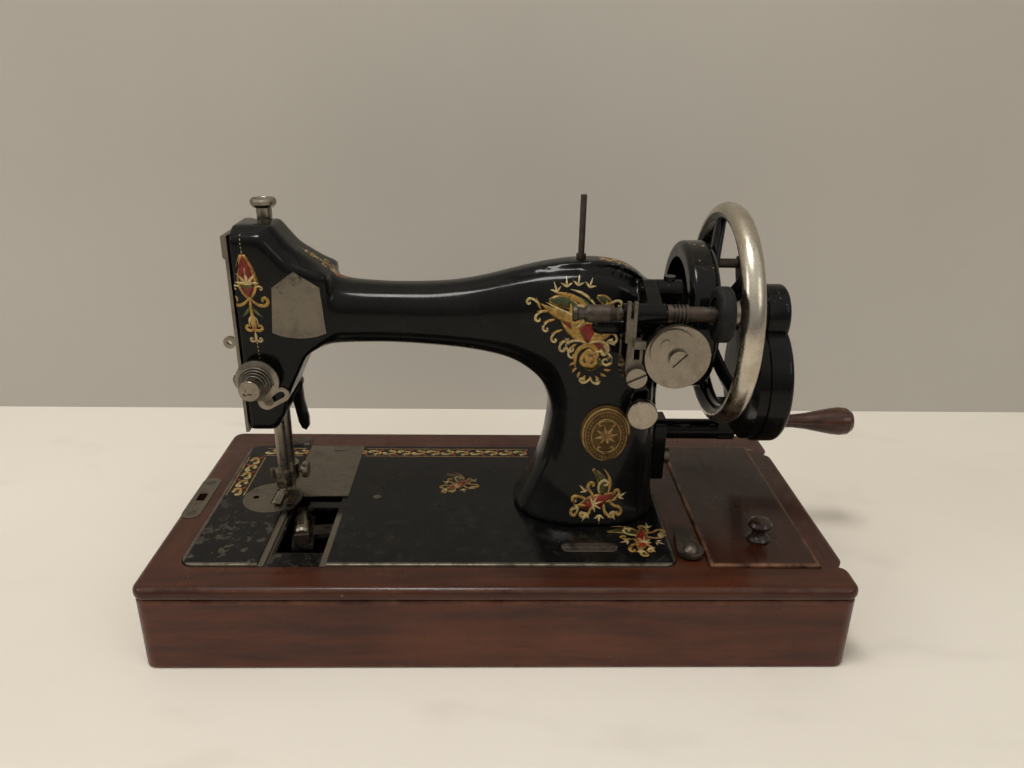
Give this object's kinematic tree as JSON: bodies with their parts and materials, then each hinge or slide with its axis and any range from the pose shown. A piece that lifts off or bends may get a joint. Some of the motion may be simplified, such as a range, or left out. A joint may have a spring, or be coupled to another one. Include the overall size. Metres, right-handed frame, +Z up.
{
  "type": "hand-crank sewing machine on wooden base",
  "caption": "Black hand-cranked sewing machine with arm, needle head, handwheel and bobbin winder, hinged to a wooden box base with a lidded compartment.",
  "frame": {"origin": "centre of the base's underside", "axes": "+X along the base towards the handwheel, +Y from the front to the back where the bed hinges are, +Z up"},
  "size_m": [0.4979, 0.217, 0.279],
  "materials": {
    "mahogany": "old shellac, worn pale at the edges",
    "turned_wood": "dark turned wood, handled smooth",
    "black_japan": "glossy black japan, chipped, with gold, red and green scrolls",
    "nickel": "aged nickel plate with dull spots",
    "aged_steel": "oiled steel with light rust",
    "brass": "darkened brass",
    "rubber": "hardened black rubber"
  },
  "bodies": {
    "base": {"base_front_board": "mahogany", "base_back_board": "mahogany", "base_left_board": "mahogany", "base_right_board": "mahogany", "rail_front": "mahogany", "rail_back": "mahogany", "rail_left": "mahogany", "middle_divider": "mahogany", "rail_right": "mahogany", "floor_board": "mahogany", "lock_plate": "aged_steel", "base_fasteners": "aged_steel", "bed_hinges": "aged_steel"},
    "catch": {"bed_catch": "aged_steel"},
    "lid": {"lid_panel": "mahogany", "lid_knob": "turned_wood"},
    "head": {"bed": "black_japan", "arm_casting": "black_japan", "faceplate": "nickel", "needle_plate": "nickel", "feed_dog": "aged_steel", "tension_discs": "nickel", "tension_spring": "aged_steel", "check_spring": "aged_steel", "slack_plate": "nickel", "spool_pin": "nickel", "badge": "brass", "winder_bracket": "black_japan", "head_screws": "aged_steel", "rock_shafts": "aged_steel", "crank_case": "black_japan", "crank_cover": "black_japan"},
    "arm_cover": {"arm_plate": "nickel"},
    "wheel": {"handwheel": "nickel", "main_shaft": "aged_steel", "crank_pinion": "aged_steel"},
    "clutch": {"clutch_nut": "nickel"},
    "crank": {"crank_gear": "aged_steel", "crank_arm": "aged_steel"},
    "grip": {"crank_grip": "turned_wood"},
    "needle_carrier": {"needle_bar": "nickel", "needle_clamp": "nickel", "needle": "nickel"},
    "presser": {"presser_bar": "nickel", "presser_foot": "nickel", "presser_foot_screw": "nickel"},
    "lifter": {"presser_lifter": "black_japan"},
    "pressure_knob": {"pressure_screw": "nickel"},
    "thumb_nut": {"tension_nut": "nickel"},
    "take_up": {"take_up_lever": "nickel"},
    "rear_slide": {"slide_plate": "nickel"},
    "carrier": {"shuttle_carrier": "aged_steel", "shuttle": "nickel"},
    "regulator": {"stitch_regulator": "nickel"},
    "winder": {"winder_frame": "black_japan", "winder_screws": "aged_steel"},
    "spindle": {"winder_spindle": "aged_steel", "winder_tyre": "rubber"},
    "cam": {"winder_cam": "aged_steel"},
    "guide": {"winder_guide": "aged_steel"}
  },
  "joints": [
    {"name": "catch_turn", "type": "hinge", "parent": "base", "child": "catch", "pos_m": [0.1239, -0.071, 0.063], "axis": [0, 0, 1], "range_deg": [0, 80]},
    {"name": "lid_hinge", "type": "hinge", "parent": "base", "child": "lid", "pos_m": [0.169, 0.0786, 0.0596], "axis": [-1, 0, 0], "range_deg": [0, 20]},
    {"name": "head_tilt", "type": "hinge", "parent": "base", "child": "head", "pos_m": [0, 0.082, 0.0608], "axis": [-1, 0, 0], "range_deg": [0, 70]},
    {"name": "arm_cover_swing", "type": "hinge", "parent": "head", "child": "arm_cover", "pos_m": [-0.1272, -0.0258, 0.2293], "axis": [0, 1, 0], "range_deg": [0, 80]},
    {"name": "handwheel_spin", "type": "hinge", "parent": "head", "child": "wheel", "pos_m": [0.1465, -0.002, 0.202], "axis": [-1, 0, 0], "continuous": true},
    {"name": "clutch_turn", "type": "hinge", "parent": "wheel", "child": "clutch", "pos_m": [0.1535, -0.002, 0.202], "axis": [1, 0, 0], "range_deg": [-60, 60]},
    {"name": "crank_spin", "type": "hinge", "parent": "head", "child": "crank", "pos_m": [0.19, -0.002, 0.1565], "axis": [-1, 0, 0], "continuous": true},
    {"name": "grip_spin", "type": "hinge", "parent": "crank", "child": "grip", "pos_m": [0.235, 0.0515, 0.0994], "axis": [1, 0, 0], "continuous": true},
    {"name": "needle_slide", "type": "slide", "parent": "head", "child": "needle_carrier", "axis": [0, 0, 1], "range_m": [0, 0.028]},
    {"name": "lifter_turn", "type": "hinge", "parent": "head", "child": "lifter", "pos_m": [-0.146, 0.023, 0.141], "axis": [0, -1, 0], "range_deg": [0, 90]},
    {"name": "presser_slide", "type": "slide", "parent": "head", "child": "presser", "axis": [0, 0, 1], "range_m": [0, 0.007]},
    {"name": "pressure_turn", "type": "hinge", "parent": "head", "child": "pressure_knob", "pos_m": [-0.1525, 0.013, 0.26], "axis": [0, 0, 1], "range_deg": [-180, 180]},
    {"name": "thumb_nut_turn", "type": "hinge", "parent": "head", "child": "thumb_nut", "pos_m": [-0.1552, -0.047, 0.1638], "axis": [0, 1, 0], "range_deg": [-180, 180]},
    {"name": "take_up_swing", "type": "hinge", "parent": "head", "child": "take_up", "pos_m": [-0.1305, -0.015, 0.197], "axis": [0, 1, 0], "range_deg": [0, 38]},
    {"name": "rear_slide_pull", "type": "slide", "parent": "head", "child": "rear_slide", "axis": [0, -1, 0], "range_m": [-0.03, 0]},
    {"name": "carrier_swing", "type": "hinge", "parent": "head", "child": "carrier", "pos_m": [-0.028, -0.002, 0.05], "axis": [0, 0, 1], "range_deg": [-25, 14]},
    {"name": "regulator_slide", "type": "slide", "parent": "head", "child": "regulator", "axis": [0, 0, 1], "range_m": [-0.005, 0.005]},
    {"name": "winder_tip", "type": "hinge", "parent": "head", "child": "winder", "pos_m": [0.09, -0.042, 0.229], "axis": [-1, 0, 0], "range_deg": [-4, 8]},
    {"name": "winder_spin", "type": "hinge", "parent": "winder", "child": "spindle", "pos_m": [0.1, -0.065, 0.221], "axis": [1, 0, 0], "continuous": true},
    {"name": "cam_turn", "type": "hinge", "parent": "winder", "child": "cam", "pos_m": [0.101, -0.07, 0.1995], "axis": [0, 1, 0], "continuous": true},
    {"name": "guide_swing", "type": "hinge", "parent": "winder", "child": "guide", "pos_m": [0.0778, -0.078, 0.1877], "axis": [0, 1, 0], "range_deg": [-5, 5]}
  ],
  "couplings": [
    {"joint": "crank_spin", "follows": "handwheel_spin", "ratio": -0.33333},
    {"joint": "lifter_turn", "follows": "presser_slide", "rad_per_m": 224.4},
    {"joint": "cam_turn", "follows": "winder_spin", "ratio": 0.016667}
  ]
}
